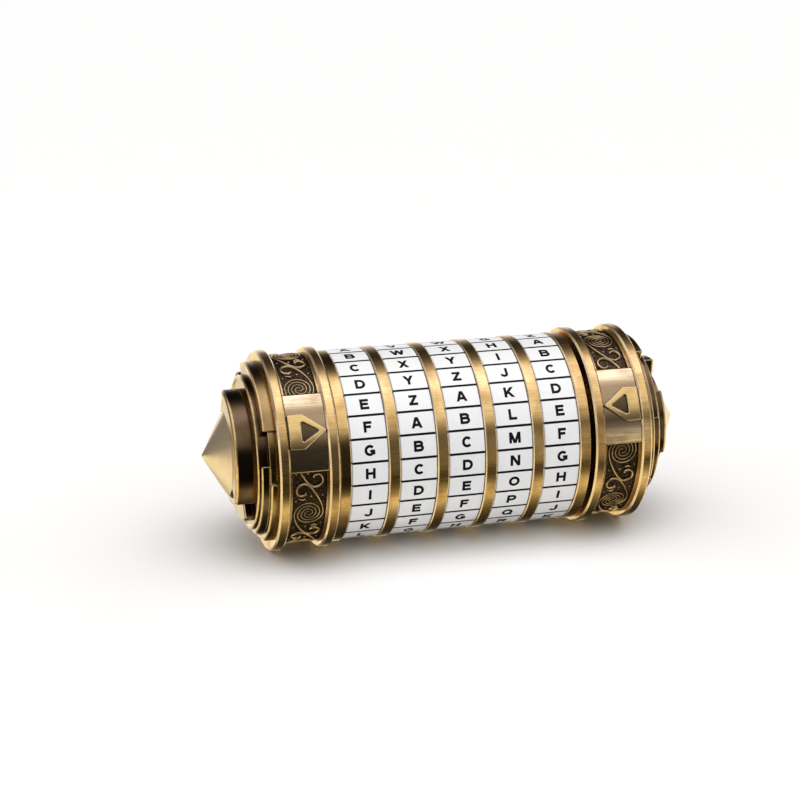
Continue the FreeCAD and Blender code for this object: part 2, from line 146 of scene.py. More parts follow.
# ---- node materials
class Nodes:
    """A node tree that is built from nothing."""

    def __init__(self, tree):
        self.tree = tree
        self.tree.nodes.clear()

    def node(self, kind, inputs=None, output=0, **settings):
        made = self.tree.nodes.new("ShaderNode" + kind)
        for name, value in settings.items():
            setattr(made, name, value)
        for name, value in (inputs or {}).items():
            if isinstance(value, bpy.types.NodeSocket):
                self.tree.links.new(value, made.inputs[name])
            else:
                made.inputs[name].default_value = value
        return made.outputs[output] if len(made.outputs) else None

    def math(self, operation, first, second=0.0, third=0.0):
        return self.node("Math", {0: first, 1: second, 2: third}, operation=operation)

    def ramp(self, value, low, high, start=0.0, end=1.0, interpolation="LINEAR"):
        """value from low..high onto start..end, clamped."""
        inputs = {"Value": value, "From Min": low, "From Max": high, "To Min": start, "To Max": end}
        return self.node("MapRange", inputs, interpolation_type=interpolation)

    def step(self, value, low, high):
        """A soft step from 0 at low to 1 at high."""
        return self.ramp(value, low, high, interpolation="SMOOTHSTEP")

    def band(self, value, low, full, last, high):
        """1 from full to last, falling softly to 0 at low and at high."""
        return self.math("MULTIPLY", self.step(value, low, full), self.step(value, high, last))

    def split(self, vector):
        """The X, Y and Z of a vector."""
        parts = self.tree.nodes.new("ShaderNodeSeparateXYZ")
        self.tree.links.new(vector, parts.inputs[0])
        return [parts.outputs[axis] for axis in "XYZ"]

    def mix(self, share, first, second):
        """Blend of two colours."""
        return self.node(
            "Mix", {0: share, 6: first, 7: second}, output=2, data_type="RGBA", clamp_factor=True
        )


class Material(Nodes):
    """A surface built from nodes."""

    def __init__(self, name):
        self.material = bpy.data.materials.new(name)
        self.material.use_nodes = True
        super().__init__(self.material.node_tree)

    def place(self):
        """Position in the piece's own frame, which is the row frame at rest."""
        return self.node("TexCoord", output="Object")

    def stretched(self, along, across):
        """Position, scaled by along on the axis and by across at right angles to it."""
        return self.node("Mapping", {"Vector": self.place(), "Scale": (along, across, across)})

    def noise(self, scale, detail=2.0, rough=0.5, vector=None):
        """Noise over the piece, or over vector where that is given."""
        inputs = {"Vector": vector or self.place(), "Scale": scale, "Detail": detail, "Roughness": rough}
        return self.node("TexNoise", inputs)

    def marks(self, along=110.0, across=3600.0):
        """Fine scratches drawn out along the axis, or round it where along is the larger."""
        return self.noise(1.0, 3.0, 0.6, self.stretched(along, across))

    def corner(self, reach):
        """Nearly 0 in corners, 1 where nothing is nearer than reach millimetres."""
        return self.node("AmbientOcclusion", {"Distance": reach * MM}, output="AO", samples=4)

    def bump(self, height, strength, depth=0.02, normal=None):
        """A normal roughened by height, which is depth millimetres deep."""
        inputs = {"Strength": strength, "Distance": depth * MM, "Height": height}
        return self.node("Bump", inputs if normal is None else {**inputs, "Normal": normal})

    def radius(self):
        """Distance from the axis."""
        _, y, z = self.split(self.place())
        return self.math("SQRT", self.math("MULTIPLY_ADD", z, z, self.math("MULTIPLY", y, y)))

    def lean(self):
        """0 on the round walls, 1 on the faces at right angles to the axis."""
        x, _, _ = self.split(self.node("TexCoord", output="Normal"))
        return self.math("ABSOLUTE", x)

    def rims(self):
        """1 on what leans between the end faces and the round walls, such as a rounded rim; 0 on both."""
        lean = self.lean()
        return self.math("MULTIPLY", self.ramp(lean, 0.12, 0.4), self.ramp(lean, 0.98, 0.86))

    def edges(self, width):
        """Nearly 1 on the sharp outer edges of the piece, 0 on its faces."""
        rounded = self.node("Bevel", {"Radius": width}, samples=4)
        flat = self.node("NewGeometry", output="Normal")
        alike = self.node("VectorMath", {0: rounded, 1: flat}, output="Value", operation="DOT_PRODUCT")
        return self.ramp(alike, 0.995, 0.90, 0.0, 1.0)

    def finish(self, **inputs):
        named = {name.replace("_", " "): value for name, value in inputs.items()}
        shader = self.node("BsdfPrincipled", named, output="BSDF")
        self.node("OutputMaterial", {"Surface": shader})
        return self.material


def colour(red, green, blue):
    return (red, green, blue, 1.0)


# near-black patina and painted shade, laid in corners and in gaps between parts
SHADE_AND_GRIME = colour(0.03, 0.018, 0.008)
SHADE_AND_GRIME_SHARE = 0.85  # how much of the near-black patina and painted shade covers what lies in a corner
WORN_BRASS = colour(0.97, 0.84, 0.58)
EDGE_WEAR, RIM_WEAR = 0.6, 0.45  # how bright wear leaves sharp edges and rounded rims
WINDOW_TIP = 1.55 * MM  # from the pointer's tip to the tip of its window
WINDOW_FOOT = 2.85 * MM  # from the window's foot to the pointer's foot
WINDOW_SLOPE = 0.6  # half the window's width, as a share of the distance from its tip
PLATE_SHADE_FULL, PLATE_SHADE_END = 4.4 * MM, 6.8 * MM  # how far from its middle an arrow plate's painted shade stays full, and where it has faded out


def arrow_plate_shade(m):
    """Masks of the painted shade on an arrow plate: 1 inside the window of its pointer, and 1 near its
    middle.
    """
    low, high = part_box("right_pointer_front")
    tip, foot = low.x + WINDOW_TIP, high.x - WINDOW_FOOT
    length = foot - tip
    x, y, z = m.split(m.place())
    lead = m.math("SUBTRACT", m.math("ABSOLUTE", x), tip)
    rise = m.math("MULTIPLY", z, math.cos(READING))
    aside = m.math("ABSOLUTE", m.math("MULTIPLY_ADD", y, math.sin(READING), rise))
    inside = m.math("SUBTRACT", m.math("MULTIPLY", lead, WINDOW_SLOPE), aside)
    window = m.math(
        "MULTIPLY", m.step(inside, -0.3 * MM, 0.2 * MM), m.step(lead, length + 0.2 * MM, length)
    )
    return window, m.step(aside, PLATE_SHADE_END, PLATE_SHADE_FULL)


def brass(name, clean, dark, rough, grain=1.0, tarnish=(0.35, 0.75), streaks=0.12, edge=0.14,
          painted_plate_shade=False, turned=False):
    """Brushed brass: fine marks along the axis, brown patina in patches, patina and painted shade in
    corners, bright worn edges.

    tarnish is the span of the patches over which clean turns dark, streaks the share of dark in the marks,
    and edge the width of the worn edges in millimetres. On a turned piece the marks run round the axis. An
    arrow plate can be given painted shade inside its pointer's window and near its middle.
    """
    m = Material(name)
    marks = m.marks(3600.0, 110.0) if turned else m.marks()
    patches = m.noise(190.0, 4.0, 0.6)
    fine = m.noise(1500.0)
    # painted shade with patina: near-black in corners and in gaps between parts, from ambient occlusion
    shade_and_grime = m.ramp(m.corner(0.8), 0.75, 0.2)
    tarnish_and_plate_shade = m.ramp(m.math("MULTIPLY_ADD", marks, 0.25, patches), tarnish[0] + 0.12, tarnish[1] + 0.12)
    if painted_plate_shade:
        # painted shade on an arrow plate: near-black inside its pointer's window, and darker near its
        # middle
        window, middle = arrow_plate_shade(m)
        shade_and_grime = m.math("MAXIMUM", shade_and_grime, m.math("MULTIPLY", window, SHADE_AND_GRIME_SHARE))
        tarnish_and_plate_shade = m.math("MAXIMUM", tarnish_and_plate_shade, m.math("MULTIPLY", middle, 0.8))
    base = m.mix(tarnish_and_plate_shade, clean, dark)
    base = m.mix(m.math("MULTIPLY", m.ramp(marks, 0.4, 0.62), streaks), base, dark)
    base = m.mix(m.math("MULTIPLY", shade_and_grime, SHADE_AND_GRIME_SHARE), base, SHADE_AND_GRIME)
    base = m.mix(m.math("MULTIPLY", m.edges(edge * MM), EDGE_WEAR), base, WORN_BRASS)
    base = m.mix(m.math("MULTIPLY", m.rims(), RIM_WEAR), base, WORN_BRASS)
    roughness = m.math("MULTIPLY_ADD", marks, 0.16 * grain, rough - 0.08 * grain)
    roughness = m.math("MULTIPLY_ADD", tarnish_and_plate_shade, 0.1, roughness)
    height = m.math("MULTIPLY_ADD", fine, 0.3, marks)
    bump = m.bump(height, 0.14 * grain, normal=m.node("Bevel", {"Radius": edge * MM}, samples=4))
    return m.finish(Base_Color=base, Metallic=1.0, Roughness=roughness, Normal=bump)


def relief_brass():
    """Cast brass: near-black in the ground, rubbed bright on what stands proud."""
    m = Material("relief_brass")
    grain = m.noise(2600.0, 3.0, 0.6)
    patches = m.noise(300.0)
    proud = m.math("MULTIPLY_ADD", grain, 0.12 * MM, m.radius())
    ground = ground_radius("left")
    rubbed = m.ramp(proud, ground + 0.15 * MM, ground + 0.4 * MM)
    rubbed = m.math("MULTIPLY", rubbed, m.ramp(patches, 0.25, 0.6, 0.55, 1.0))
    base = m.mix(rubbed, colour(0.05, 0.037, 0.023), colour(0.66, 0.49, 0.27))
    roughness = m.ramp(rubbed, 0.0, 1.0, 0.42, 0.26)
    return m.finish(
        Base_Color=base, Metallic=1.0, Roughness=roughness, Normal=m.bump(grain, 0.3, 0.03)
    )


ARCS_FROM, ARCS_FULL = 18.75 * MM, 19.0 * MM  # radius of the outermost arcs


def dark_bronze():
    """Glossy dark bronze, rubbed through to the brass on its rounded rims and on the outermost arcs."""
    m = Material("dark_bronze")
    patches = m.noise(140.0, 3.0, 0.55)
    fine = m.noise(900.0)
    marks = m.marks()
    aged = m.ramp(patches, 0.35, 0.7)
    bronze = m.mix(aged, colour(0.18, 0.12, 0.064), colour(0.10, 0.066, 0.036))
    gilt = m.mix(aged, colour(0.40, 0.28, 0.12), colour(0.25, 0.16, 0.07))
    base = m.mix(m.ramp(m.radius(), ARCS_FROM, ARCS_FULL), bronze, gilt)
    wear = m.math("MAXIMUM", m.math("MULTIPLY", m.rims(), 0.9), m.edges(0.5 * MM))
    wear = m.math("MAXIMUM", wear, m.ramp(m.lean(), 0.975, 0.995, 0.0, 0.35))
    wear = m.math("MULTIPLY", wear, m.ramp(fine, 0.3, 0.55, 0.7, 1.0))
    base = m.mix(wear, base, colour(0.84, 0.60, 0.28))
    # painted shade with patina: near-black in corners and in gaps between parts, from ambient occlusion
    base = m.mix(m.ramp(m.corner(1.0), 0.7, 0.15), base, colour(0.02, 0.014, 0.01))
    roughness = m.math("MULTIPLY_ADD", patches, 0.1, 0.1)
    roughness = m.math("MULTIPLY_ADD", marks, 0.08, roughness)
    bump = m.bump(marks, 0.08, 0.03, m.node("Bevel", {"Radius": 0.45 * MM}, samples=6))
    return m.finish(Base_Color=base, Metallic=1.0, Roughness=roughness, Normal=bump)


def ivory_plastic():
    """Moulded white plastic, a little uneven, with a soft gloss."""
    m = Material("ivory_plastic")
    cloud = m.noise(120.0, 3.0)
    fine = m.noise(2200.0)
    base = m.mix(cloud, colour(0.86, 0.86, 0.87), colour(0.90, 0.90, 0.90))
    # painted shade: the plastic turns dark grey in corners and in gaps between parts, from ambient
    # occlusion
    base = m.mix(m.ramp(m.corner(0.35), 0.7, 0.2, 0.0, 0.6), base, colour(0.22, 0.20, 0.18))
    roughness = m.math("MULTIPLY_ADD", cloud, 0.1, 0.26)
    return m.finish(Base_Color=base, Roughness=roughness, Normal=m.bump(fine, 0.06))


def black_ink():
    """Glossy black enamel of the letters and lines."""
    m = Material("black_ink")
    fine = m.noise(1800.0)
    base = m.mix(fine, colour(0.004, 0.004, 0.006), colour(0.014, 0.014, 0.016))
    roughness = m.math("MULTIPLY_ADD", fine, 0.15, 0.4)
    return m.finish(
        Base_Color=base, Roughness=roughness, Specular_IOR_Level=0.2, Normal=m.bump(fine, 0.1)
    )


def dull(name, low, high, rough, metallic):
    """A plain worked surface of the small hidden pieces."""
    m = Material(name)
    grain = m.noise(1200.0, 3.0, 0.6)
    base = m.mix(grain, low, high)
    roughness = m.math("MULTIPLY_ADD", grain, 0.2, rough)
    return m.finish(Base_Color=base, Metallic=metallic, Roughness=roughness, Normal=m.bump(grain, 0.1))


def ground_radius(side):
    """Radius of the relief band's ground: its rails are the highest part of the CAD panel."""
    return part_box(f"{side}_relief_panel_upper")[1].z - RAIL_HEIGHT


BRASSES = {
    "antique_brass": dict(clean=colour(0.82, 0.58, 0.26), dark=colour(0.48, 0.29, 0.11), rough=0.21),
    # painted shade: the left collar's colours are darker than antique_brass, for the shade in its gap
    # beside the first dial
    "collar_brass": dict(
        clean=colour(0.72, 0.50, 0.21), dark=colour(0.42, 0.25, 0.09), rough=0.11, grain=0.5
    ),
    # the arrow plate carries painted shade inside its pointer's window and near its middle
    "plate_brass": dict(
        clean=colour(0.80, 0.63, 0.36), dark=colour(0.30, 0.21, 0.125), rough=0.14, grain=1.2,
        tarnish=(0.4, 0.9), streaks=0.4, edge=0.25, painted_plate_shade=True,
    ),
    "polished_brass": dict(
        clean=colour(0.74, 0.53, 0.23), dark=colour(0.50, 0.33, 0.12), rough=0.17, grain=0.4,
        tarnish=(0.5, 0.9), edge=0.4,
    ),
    "satin_brass": dict(
        clean=colour(0.86, 0.68, 0.44), dark=colour(0.60, 0.44, 0.27), rough=0.26, grain=0.4,
        tarnish=(0.3, 0.8),
    ),
    "plain_brass": dict(
        clean=colour(0.84, 0.64, 0.33), dark=colour(0.62, 0.45, 0.22), rough=0.25, tarnish=(0.45, 0.9),
        turned=True,
    ),
}


def make_materials():
    """One material for each slot of the record, and one more for the left collar."""
    made = {name: brass(name, **look) for name, look in BRASSES.items()}
    made["relief_brass"] = relief_brass()
    made["dark_bronze"] = dark_bronze()
    made["ivory_plastic"] = ivory_plastic()
    made["black_ink"] = black_ink()
    made["steel"] = dull("steel", colour(0.22, 0.22, 0.23), colour(0.36, 0.36, 0.37), 0.3, 1.0)
    made["black_rubber"] = dull(
        "black_rubber", colour(0.012, 0.012, 0.012), colour(0.03, 0.03, 0.03), 0.6, 0.0
    )
    return made


materials = make_materials()


def dress_cad():
    """Every CAD node gets the material of its slot."""
    slots = {part["node"]: part["material_slot"] for part in frame["record"]["subparts"]}
    slots["left_collar"] = "collar_brass"  # the same brass, with a higher polish and darker colours that are painted shade for its gap beside the first dial
    for node, made in frame["nodes"].items():
        made.data.materials.clear()
        made.data.materials.append(materials[slots[node]])


# ---- letters
def arc(x, y, rx, ry, start, end, count=14):
    points = []
    for step in range(count + 1):
        turn = math.radians(start + (end - start) * step / count)
        points.append((x + rx * math.cos(turn), y + ry * math.sin(turn)))
    return points


def glyphs():
    """Width and strokes of each letter, in shares of its height. A stroke is a centre line."""
    h = STROKE / 2
    top, low = 1 - h, h
    spare = 0.2  # how far slanted strokes run past the letter before they are cut level

    def slant(x0, x1, start=-spare, end=1 + spare):
        """A straight stroke that would cross the foot of the letter at x0 and its head at x1."""
        return [(x0 + (x1 - x0) * start, start), (x0 + (x1 - x0) * end, end)]

    def post(x, start=0.0, end=1.0):
        return [(x, start), (x, end)]

    def bar(y, start, end):
        return [(start, y), (end, y)]

    def bowl(x, reach, upper, lower):
        middle, half = (upper + lower) / 2, (upper - lower) / 2
        turn = arc(x, middle, reach - x, half, 90, -90)
        return [(h, upper)] + turn + [(h, lower)]

    def hoop(width, start, end):
        return arc(width / 2, 0.5, width / 2 - h, 0.5 - h, start, end, 36)

    return {
        "A": (0.98, [slant(0.11, 0.47), slant(0.87, 0.51), bar(0.29, 0.25, 0.73)]),
        "B": (0.9, [post(h), bowl(0.5, 0.74, top, 0.53), bowl(0.54, 0.80, 0.53, low)]),
        "C": (0.95, [hoop(0.95, 42, 318)]),
        "D": (0.92, [post(h), bowl(0.42, 0.82, top, low)]),
        "E": (0.82, [post(h), bar(top, 0, 0.80), bar(0.52, 0, 0.74), bar(low, 0, 0.82)]),
        "F": (0.76, [post(h), bar(top, 0, 0.76), bar(0.50, 0, 0.68)]),
        "G": (0.98, [hoop(0.98, 42, 330), bar(0.43, 0.52, 0.97), post(0.97 - h, 0.12, 0.45)]),
        "H": (0.9, [post(h), post(0.9 - h), bar(0.52, h, 0.9 - h)]),
        "I": (STROKE, [post(h)]),
        "J": (0.72, [post(0.72 - h, 0.33), arc(0.36, 0.33, 0.36 - h, 0.33 - h, 0, -180)]),
        "K": (0.93, [post(h), slant(-0.13, 0.78, 0.26), slant(0.82, -0.02, -spare, 0.58)]),
        "L": (0.76, [post(h), bar(low, 0, 0.76)]),
        "M": (1.08, [post(h), post(1.08 - h), slant(0.54, 0.14), slant(0.54, 0.94)]),
        "N": (0.92, [post(h), post(0.92 - h), slant(0.80, 0.12)]),
        "O": (1.02, [hoop(1.02, 0, 360)]),
        "P": (0.86, [post(h), bowl(0.48, 0.76, top, 0.42)]),
        "Q": (1.02, [hoop(1.02, 0, 360), [(0.58, 0.32), (0.98, -0.06)]]),
        "R": (0.92, [post(h), bowl(0.50, 0.78, top, 0.47), slant(0.80, 0.14, -spare, 0.47)]),
        "S": (0.88, [arc(0.44, 0.7, 0.34, 0.2, 20, 270, 24) + arc(0.44, 0.3, 0.34, 0.2, 90, -160, 24)[1:]]),
        "T": (0.84, [bar(top, 0, 0.84), post(0.42)]),
        "U": (0.9, [post(h, 0.37), post(0.9 - h, 0.37), arc(0.45, 0.37, 0.45 - h, 0.37 - h, 180, 360)]),
        "V": (0.92, [slant(0.46, 0.11), slant(0.46, 0.81)]),
        "W": (1.28, [slant(0.36, 0.1), slant(0.36, 0.64), slant(0.92, 0.64), slant(0.92, 1.18)]),
        "X": (0.92, [slant(0.12, 0.80), slant(0.80, 0.12)]),
        "Y": (0.92, [slant(0.46 - 0.26, 0.81, 0.40), slant(0.46 + 0.26, 0.11, 0.40), post(0.46, 0, 0.5)]),
        "Z": (0.82, [bar(top, 0.03, 0.80), bar(low, 0, 0.82), slant(0.06, 0.76, 0.08, 0.92)]),
    }


def stroke_quads(points):
    """The four corners of each length of a stroke."""
    sides = []
    for index, (x, y) in enumerate(points):
        before = points[max(index - 1, 0)]
        after = points[min(index + 1, len(points) - 1)]
        along = Vector((after[0] - before[0], after[1] - before[1]))
        if along.length < 1e-6:
            along = Vector((points[1][0] - x, points[1][1] - y))
        across = Vector((-along.y, along.x)).normalized() * STROKE / 2
        sides.append((Vector((x, y)) + across, Vector((x, y)) - across))
    return [(a[0], a[1], b[1], b[0]) for a, b in zip(sides, sides[1:])]


def letter_face(strokes):
    """The flat union of a letter's strokes, cut level at its head and foot and across its height."""
    points, faces = [], []
    for stroke in strokes:
        for quad in stroke_quads(stroke):
            faces.append(list(range(len(points), len(points) + 4)))
            points.extend(quad)
    found, _, cells, _, _, sources = geometry.delaunay_2d_cdt(points, [], faces, TRIANGLES_INSIDE, TOUCHING)
    work = bmesh.new()
    corners = [work.verts.new((point.x, point.y, 0)) for point in found]
    for cell, covered_by in zip(cells, sources):
        if covered_by:
            work.faces.new([corners[index] for index in cell])
    cuts = [(0.0, -1), (1.0, 1)]
    cuts += [(step * CURVE_STEP, 0) for step in range(1, int(1 / CURVE_STEP) + 1)]
    for height, outer in cuts:
        bmesh.ops.bisect_plane(
            work,
            geom=work.verts[:] + work.edges[:] + work.faces[:],
            plane_co=(0, height, 0),
            plane_no=(0, outer or 1, 0),
            clear_outer=outer != 0,
        )
    bmesh.ops.dissolve_degenerate(work, dist=TOUCHING, edges=work.edges)
    return work


def letter_blanks():
    """Points and faces of every letter, flat."""
    blanks = {}
    for letter, (width, strokes) in glyphs().items():
        work = letter_face(strokes)
        work.verts.index_update()
        points = [(vertex.co.x - width / 2, vertex.co.y - 0.5) for vertex in work.verts]
        faces = [[vertex.index for vertex in face.verts] for face in work.faces]
        rims = [[vertex.index for vertex in edge.verts] for edge in work.edges if edge.is_boundary]
        blanks[letter] = (points, faces, rims)
        work.free()
    return blanks


def add_letter(work, blank, x, radius, angle):
    """A letter bent round its dial, as a closed solid a little proud of the plastic."""
    points, faces, rims = blank
    layers = []
    for height in (radius + LETTER_PROUD, radius - LETTER_ROOT):
        layer = []
        for across, up in points:
            turn = angle + up * CAP_HEIGHT / radius
            layer.append(work.verts.new(at(x + across * CAP_HEIGHT, height, turn)))
        layers.append(layer)
    top, root = layers
    for face in faces:
        work.faces.new([top[index] for index in face])
        work.faces.new([root[index] for index in reversed(face)])
    for a, b in rims:
        work.faces.new([top[a], top[b], root[b], root[a]])


def add_line(work, low, high, radius, angle):
    """The black filling of the groove between two letters."""
    half = LINE_WIDTH / 2 / radius
    top, root = radius + LINE_PROUD, radius - LINE_ROOT
    near, far = [
        [work.verts.new(at(x, height, angle + side * half))
         for height, side in ((top, 1), (top, -1), (root, -1), (root, 1))]
        for x in (low + LINE_END, high - LINE_END)
    ]
    work.faces.new(near)
    work.faces.new(list(reversed(far)))
    for index in range(4):
        after = (index + 1) % 4
        work.faces.new([near[index], far[index], far[after], near[after]])


def letter_dials():
    """The letters and lines of every dial. The alphabet runs down the front, with one letter on the row."""
    blanks = letter_blanks()
    for dial, first in zip(DIALS, READING_WORD):
        low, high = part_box(f"letter_ring_{dial}")
        radius = high.z
        middle = (low.x + high.x) / 2
        letters, lines = bmesh.new(), bmesh.new()
        for step in range(len(ALPHABET)):
            letter = ALPHABET[(ALPHABET.index(first) + step) % len(ALPHABET)]
            add_letter(letters, blanks[letter], middle, radius, -step * CELL)
            add_line(lines, low.x, high.x, radius, (step + 0.5) * CELL)
        body = f"dial_{dial}"
        finish_mesh(f"dial_{dial}_letters", letters, body, materials["black_ink"], False)
        finish_mesh(f"dial_{dial}_lines", lines, body, materials["black_ink"], False)


# ---- relief bands
def smooth_path(points, step):
    """A smooth curve through points, resampled to about one length of step."""
    dense = []
    for index in range(len(points) - 1):
        p1, p2 = Vector(points[index]), Vector(points[index + 1])
        p0 = Vector(points[index - 1]) if index else p1 * 2 - p2
        p3 = Vector(points[index + 2]) if index + 2 < len(points) else p2 * 2 - p1
        count = max(1, round((p2 - p1).length / step))
        for part in range(count):
            t = part / count
            dense.append(
                0.5 * (2 * p1 + (p2 - p0) * t + (2 * p0 - 5 * p1 + 4 * p2 - p3) * t * t
                       + (3 * p1 - p0 - 3 * p2 + p3) * t ** 3)
            )
    dense.append(Vector(points[-1]))
    return dense


def spiral_arm():
    """One arm of a double spiral: out of the middle, anticlockwise to the right, then up to its hook."""
    points = []
    count = round(SPIRAL_TURNS * SPIRAL_TURN_POINTS)
    for index in range(count + 1):
        share = index / count
        turn = -math.tau * SPIRAL_TURNS * (1 - share)
        radius = SPIRAL_INNER + (SPIRAL_OUTER - SPIRAL_INNER) * share
        points.append((radius * math.cos(turn), radius * math.sin(turn)))
    return points + list(ARM)


def close_loft(work, sections):
    """The faces between sections of equal length, and a face on either end."""
    for before, after in zip(sections, sections[1:]):
        for corner in range(len(before)):
            following = (corner + 1) % len(before)
            work.faces.new([before[corner], before[following], after[following], after[corner]])
    work.faces.new(sections[0])
    work.faces.new(list(reversed(sections[-1])))


def add_vine(work, points, place, widths):
    """A half-round cord of brass along a path on the band, tapering and closed at both ends."""
    path = smooth_path(points, VINE_STEP)
    lengths = [0.0]
    for before, after in zip(path, path[1:]):
        lengths.append(lengths[-1] + (after - before).length)
    total = lengths[-1]
    sections = []
    for index, point in enumerate(path):
        along = path[min(index + 1, len(path) - 1)] - path[max(index - 1, 0)]
        across = Vector((-along.y, along.x)).normalized()
        share = lengths[index] / total
        width = widths(share)
        nearest = min(lengths[index], total - lengths[index]) / width
        round_end = math.sqrt(max(0.0, 1 - max(0.0, 1 - nearest * 1.6) ** 2))
        width *= 0.25 + 0.75 * round_end
        height = width * DOME * (0.35 + 0.65 * round_end)
        section = []
        for corner in range(VINE_SIDES + 1):
            turn = math.pi * corner / VINE_SIDES
            offset = point + across * (width / 2 * math.cos(turn))
            section.append(work.verts.new(place(offset, height * math.sin(turn))))
        for side in (-1, 1):
            section.append(work.verts.new(place(point + across * (side * width / 2), -RELIEF_ROOT)))
        sections.append(section)
    close_loft(work, sections)


def add_berry(work, x, y, size, place):
    """A small domed bud."""
    levels = [(1.0, -RELIEF_ROOT)]
    for up in BERRY_LEVELS:
        levels.append((math.cos(math.radians(up)), size * DOME * math.sin(math.radians(up))))
    rings = []
    for reach, height in levels:
        ring = []
        for corner in range(BERRY_SIDES):
            turn = math.tau * corner / BERRY_SIDES
            offset = Vector((x + size * reach * math.cos(turn), y + size * reach * math.sin(turn)))
            ring.append(work.verts.new(place(offset, height)))
        rings.append(ring)
    close_loft(work, rings)


def vine_width(share):
    """Thin in the middle of the spiral, thickest along the free arm, with a full tip."""
    if share < ARM_START:
        return 0.3 + 0.1 * share / ARM_START
    return 0.4 + 0.24 * math.sin(math.pi * min(1.0, (share - ARM_START) / 0.2) / 2)


def leaf_width(share):
    return 0.2 + 0.32 * math.sin(math.pi * share)


def turned_about(points):
    """The same points after half a turn about the middle of their spiral."""
    return [(-x, -y) for x, y in points]


def trim(work, angles):
    """Cut away what runs past either end of a panel, and close the cuts."""
    for angle, sense in zip(angles, (-1, 1)):
        along = at(0, 1, math.radians(angle))
        outward = Vector((0, along.z, -along.y)) * sense
        bmesh.ops.bisect_plane(
            work,
            geom=work.verts[:] + work.edges[:] + work.faces[:],
            dist=1e-7,
            plane_co=(0, 0, 0),
            plane_no=outward,
            clear_outer=True,
        )
        rims = [edge for edge in work.edges if edge.is_boundary]
        bmesh.ops.holes_fill(work, edges=rims)


def relief_vines(side, level):
    """Double spirals joined by hooked arms, with buds and leaves between them."""
    low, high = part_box(f"{side}_relief_panel_{level}")
    middle = (low.x + high.x) / 2
    ground = ground_radius(side) + VINE_LIFT
    start, end = PANEL_ENDS[level]
    work = bmesh.new()
    for turn in range(-BAND_TURNS // 2, BAND_TURNS // 2 + 1):
        centre = FIRST_SPIRAL[side] + turn * BAND_PITCH
        if not start - FIGURE_REACH < centre < end + FIGURE_REACH:
            continue

        def place(point, height, centre=centre):
            angle = math.radians(centre) + point.y * MM / ground
            return at(middle + point.x * MM, ground + height * MM, angle)

        for points in (spiral_arm(), turned_about(spiral_arm())):
            add_vine(work, points, place, vine_width)
        for points in (LEAF, turned_about(LEAF)):
            add_vine(work, points, place, leaf_width)
        for x, y, size in BERRIES:
            add_berry(work, x, y, size, place)
            add_berry(work, -x, -y, size, place)
    trim(work, (start, end))
    finish_mesh(
        f"{side}_relief_vines_{level}", work, BODY_OF_SIDE[side], materials["relief_brass"]
    )


def relief_ground(side, level):
    """The pebbled ground between the rails."""
    low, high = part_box(f"{side}_relief_panel_{level}")
    left, right = low.x + RAIL_WIDTH, high.x - RAIL_WIDTH
    floor = ground_radius(side)
    start, end = (math.radians(angle) for angle in PANEL_ENDS[level])
    columns = round((right - left) / (PEBBLE_STEP * MM))
    rows = round((end - start) * floor / (PEBBLE_STEP * MM))
    work = bmesh.new()
    grid, roots = [], []
    for row in range(rows + 1):
        angle = start + (end - start) * row / rows
        line = []
        for column in range(columns + 1):
            x = left + (right - left) * column / columns
            spot = at(x, floor, angle)
            distances, _ = noise.voronoi(spot / (PEBBLE * MM))
            lift = max(0.0, 1 - (distances[0] / PEBBLE_REACH) ** 2)
            height = PEBBLE_FOOT + PEBBLE_HEIGHT * lift
            line.append(work.verts.new(at(x, floor + height * MM, angle)))
        grid.append(line)
        roots.append([work.verts.new(at(x, floor - GROUND_ROOT, angle)) for x in (left, right)])
    for row in range(rows):
        for column in range(columns):
            corners = (grid[row][column], grid[row][column + 1])
            work.faces.new([*corners, grid[row + 1][column + 1], grid[row + 1][column]])
        work.faces.new([roots[row][0], roots[row + 1][0], roots[row + 1][1], roots[row][1]])
        work.faces.new([roots[row][0], grid[row][0], grid[row + 1][0], roots[row + 1][0]])
        work.faces.new([roots[row][1], roots[row + 1][1], grid[row + 1][-1], grid[row][-1]])
    for row in (0, rows):
        work.faces.new([roots[row][0], *grid[row], roots[row][1]])
    finish_mesh(
        f"{side}_relief_ground_{level}", work, BODY_OF_SIDE[side], materials["relief_brass"]
    )


# ---- studio
CAMERA_DISTANCE = 0.4649
CAMERA_AZIMUTH = math.radians(-16.073)
CAMERA_ELEVATION = math.radians(17.875)
CAMERA_AIM = (-9.75 * MM, 7.93 * MM)  # right of and above the object's middle, in the view plane
LENS = 91.5
NEAR_CLIP = 0.01
FLOOR_SIZE = 60.0


def studio_camera():
    back = Vector((
        math.sin(CAMERA_AZIMUTH) * math.cos(CAMERA_ELEVATION),
        -math.cos(CAMERA_AZIMUTH) * math.cos(CAMERA_ELEVATION),
        math.sin(CAMERA_ELEVATION),
    ))
    place = back * CAMERA_DISTANCE
    right = (-back).cross(Vector((0, 0, 1))).normalized()
    up = right.cross(-back)
    forward = (right * CAMERA_AIM[0] + up * CAMERA_AIM[1] - place).normalized()
    right = (right - forward * right.dot(forward)).normalized()
    up = right.cross(forward)
    data = bpy.data.cameras.new("camera")
    data.lens = LENS
    data.clip_start = NEAR_CLIP
    camera = bpy.data.objects.new("camera", data)
    turn = Matrix((right, up, -forward)).transposed()
    camera.matrix_world = Matrix.Translation(place) @ turn.to_4x4()
    bpy.context.scene.collection.objects.link(camera)
    bpy.context.scene.camera = camera


